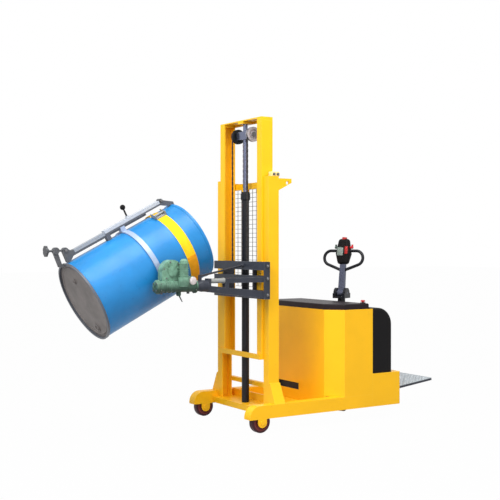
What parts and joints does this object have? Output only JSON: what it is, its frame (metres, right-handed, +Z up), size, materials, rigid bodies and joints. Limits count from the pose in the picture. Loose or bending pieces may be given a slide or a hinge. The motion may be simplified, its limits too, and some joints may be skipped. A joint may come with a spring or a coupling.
{
  "type": "drum tipper",
  "caption": "Walk-behind lift truck with a mast, a side arm and a geared holder that clamps a steel drum, raises it and tips it to pour.",
  "frame": {"origin": "on the floor, midway between the two load wheels", "axes": "+X forward to the drum, +Y to the operator's left, +Z up"},
  "size_m": [3.1821, 0.93, 2.26],
  "materials": {
    "yellow_paint": "semi-gloss powder coat",
    "dark_paint": "satin dark grey paint",
    "gearbox_paint": "satin grey-green machine paint",
    "galvanised": "dull zinc plate",
    "black_plastic": "fine-grained moulding",
    "black_paint": "satin black paint",
    "chromed_rod": "hard chrome",
    "bare_steel": "oiled steel",
    "wheel_tyre": "dark red-brown polyurethane",
    "drum_blue": "gloss drum enamel",
    "drum_grey": "dull grey paint",
    "webbing": "woven webbing",
    "red_plastic": "gloss red",
    "battery_case": "moulded case",
    "iron_casting": "rough casting",
    "tread_plate": "galvanised tread plate"
  },
  "bodies": {
    "chassis": {"leg_left": "yellow_paint", "leg_right": "yellow_paint", "load_axles": "bare_steel", "chassis_deck": "yellow_paint", "outer_mast_left": "yellow_paint", "outer_mast_right": "yellow_paint", "outer_cross_bars": "yellow_paint", "mast_guard": "black_paint", "lift_cylinder": "black_paint", "cylinder_gland": "black_paint", "body_shell": "yellow_paint", "battery_pack": "battery_case", "counterweight": "iron_casting", "power_unit": "black_paint", "rear_base": "yellow_paint", "rear_cover": "black_plastic"},
    "load_wheel_left": {"load_wheel_left": "wheel_tyre"},
    "load_wheel_right": {"load_wheel_right": "wheel_tyre"},
    "inner_mast": {"inner_mast_left": "yellow_paint", "inner_mast_right": "yellow_paint", "inner_cross_bars": "yellow_paint", "lift_rod": "chromed_rod", "sheave_axle": "bare_steel", "lift_chains": "bare_steel"},
    "mast_rollers": {"mast_rollers": "bare_steel"},
    "chain_sheaves": {"chain_sheaves": "bare_steel"},
    "carriage": {"carriage_bars": "dark_paint", "carriage_plates": "dark_paint", "tilt_arm": "dark_paint", "gearbox_housing": "gearbox_paint", "gearbox_cover": "gearbox_paint", "tilt_motor": "gearbox_paint", "arm_stay": "dark_paint", "arm_sleeve": "galvanised"},
    "carriage_rollers_low": {"carriage_rollers_low": "bare_steel"},
    "carriage_rollers_high": {"carriage_rollers_high": "bare_steel"},
    "tilt_release": {"tilt_release": "dark_paint"},
    "drum_holder": {"trunnion": "galvanised", "holder_hoop": "galvanised", "clamp_bar": "galvanised", "drum_strap": "webbing", "strap_ratchet": "galvanised", "drum_shell": "drum_blue", "drum_head": "drum_grey", "drum_bungs": "drum_grey"},
    "lock_plunger": {"lock_plunger": "black_plastic"},
    "clamp_slider": {"clamp_slider": "dark_paint"},
    "clamp_jaw": {"clamp_jaw": "dark_paint"},
    "clamp_screw": {"clamp_screw": "dark_paint"},
    "battery_lid": {"battery_lid": "black_plastic"},
    "stop_button": {"stop_button": "red_plastic"},
    "steering": {"drive_unit": "black_paint", "steering_column": "dark_paint"},
    "drive_wheel": {"drive_wheel": "wheel_tyre"},
    "tiller": {"tiller_arm": "dark_paint", "tiller_head": "black_plastic", "tiller_loops": "black_paint"},
    "throttle": {"throttle": "black_plastic"},
    "safety_button": {"safety_button": "red_plastic"},
    "folding_step": {"folding_step": "tread_plate"}
  },
  "joints": [
    {"name": "load_wheel_left_spin", "type": "hinge", "parent": "chassis", "child": "load_wheel_left", "pos_m": [0, 0.403, 0.075], "axis": [0, 1, 0], "continuous": true},
    {"name": "load_wheel_right_spin", "type": "hinge", "parent": "chassis", "child": "load_wheel_right", "pos_m": [0, -0.403, 0.075], "axis": [0, 1, 0], "continuous": true},
    {"name": "mast_lift", "type": "slide", "parent": "chassis", "child": "inner_mast", "axis": [0, 0, 1], "range_m": [-0.335, 0.55], "deforming": ["lift_chains"]},
    {"name": "carriage_lift", "type": "slide", "parent": "inner_mast", "child": "carriage", "axis": [0, 0, 1], "range_m": [-0.335, 0.55]},
    {"name": "sheave_spin", "type": "hinge", "parent": "inner_mast", "child": "chain_sheaves", "pos_m": [-0.134, 0, 2.15], "axis": [0, 1, 0], "range_deg": [-641, 391]},
    {"name": "mast_roller_spin", "type": "hinge", "parent": "inner_mast", "child": "mast_rollers", "pos_m": [-0.149, 0, 0.564], "axis": [0, 1, 0], "range_deg": [-910, 555]},
    {"name": "carriage_roller_low_spin", "type": "hinge", "parent": "carriage", "child": "carriage_rollers_low", "pos_m": [-0.1365, 0, 1.015], "axis": [0, 1, 0], "range_deg": [-805, 491]},
    {"name": "carriage_roller_high_spin", "type": "hinge", "parent": "carriage", "child": "carriage_rollers_high", "pos_m": [-0.1365, 0, 1.16], "axis": [0, 1, 0], "range_deg": [-491, 805]},
    {"name": "tilt_release_swing", "type": "hinge", "parent": "carriage", "child": "tilt_release", "pos_m": [0.648, 0.402, 0.997], "axis": [0, 1, 0], "range_deg": [0, 20]},
    {"name": "drum_tilt", "type": "hinge", "parent": "carriage", "child": "drum_holder", "pos_m": [0.692, 0, 1.152], "axis": [0, 1, 0], "range_deg": [-117.5, 62.5]},
    {"name": "lock_plunger_pull", "type": "slide", "parent": "drum_holder", "child": "lock_plunger", "axis": [0.4617, 0, 0.887], "range_m": [0, 0.012], "stiffness_N_per_m": 1000},
    {"name": "clamp_slide", "type": "slide", "parent": "drum_holder", "child": "clamp_slider", "axis": [0.887, 0, -0.4617], "range_m": [0, 0.06]},
    {"name": "clamp_screw_turn", "type": "hinge", "parent": "clamp_slider", "child": "clamp_screw", "pos_m": [1.29673, 0, 1.29255], "axis": [0.999, 0, -0.0436], "range_deg": [0, 1080]},
    {"name": "clamp_jaw_travel", "type": "slide", "parent": "clamp_slider", "child": "clamp_jaw", "axis": [0.999, 0, -0.0436], "range_m": [0, 0.012]},
    {"name": "battery_lid_hinge", "type": "hinge", "parent": "chassis", "child": "battery_lid", "pos_m": [-0.971, 0, 0.853], "axis": [0, -1, 0], "range_deg": [0, 45]},
    {"name": "stop_button_press", "type": "slide", "parent": "battery_lid", "child": "stop_button", "axis": [0, 0, 1], "range_m": [-0.006, 0], "stiffness_N_per_m": 600},
    {"name": "steering_turn", "type": "hinge", "parent": "chassis", "child": "steering", "pos_m": [-1.043, 0, 0], "axis": [0, 0, 1], "range_deg": [-118, 62]},
    {"name": "drive_wheel_spin", "type": "hinge", "parent": "steering", "child": "drive_wheel", "pos_m": [-1.043, 0, 0.115], "axis": [-0.4695, 0.8829, 0], "continuous": true},
    {"name": "tiller_swing", "type": "hinge", "parent": "steering", "child": "tiller", "pos_m": [-1.043, 0, 0.945], "axis": [-0.4695, 0.8829, 0], "range_deg": [-70, 8], "stiffness_Nm_per_rad": 20, "springref_deg": 8},
    {"name": "throttle_turn", "type": "hinge", "parent": "tiller", "child": "throttle", "pos_m": [-1.08822, -0.02404, 1.30942], "axis": [-0.4695, 0.8829, 0], "range_deg": [-25, 25], "stiffness_Nm_per_rad": 0.5},
    {"name": "safety_button_press", "type": "slide", "parent": "tiller", "child": "safety_button", "axis": [-0.1229, -0.0653, 0.9903], "range_m": [-0.006, 0], "stiffness_N_per_m": 800},
    {"name": "step_fold", "type": "hinge", "parent": "chassis", "child": "folding_step", "pos_m": [-1.291, 0, 0.187], "axis": [0, 1, 0], "range_deg": [-6.7, 80]}
  ],
  "couplings": [
    {"joint": "carriage_lift", "follows": "mast_lift", "ratio": 1},
    {"joint": "sheave_spin", "follows": "mast_lift", "rad_per_m": -20.284},
    {"joint": "mast_roller_spin", "follows": "mast_lift", "rad_per_m": -28.818},
    {"joint": "carriage_roller_low_spin", "follows": "mast_lift", "rad_per_m": -25.51},
    {"joint": "carriage_roller_high_spin", "follows": "mast_lift", "rad_per_m": 25.51},
    {"joint": "clamp_jaw_travel", "follows": "clamp_screw_turn", "m_per_rad": 0.00063662}
  ]
}
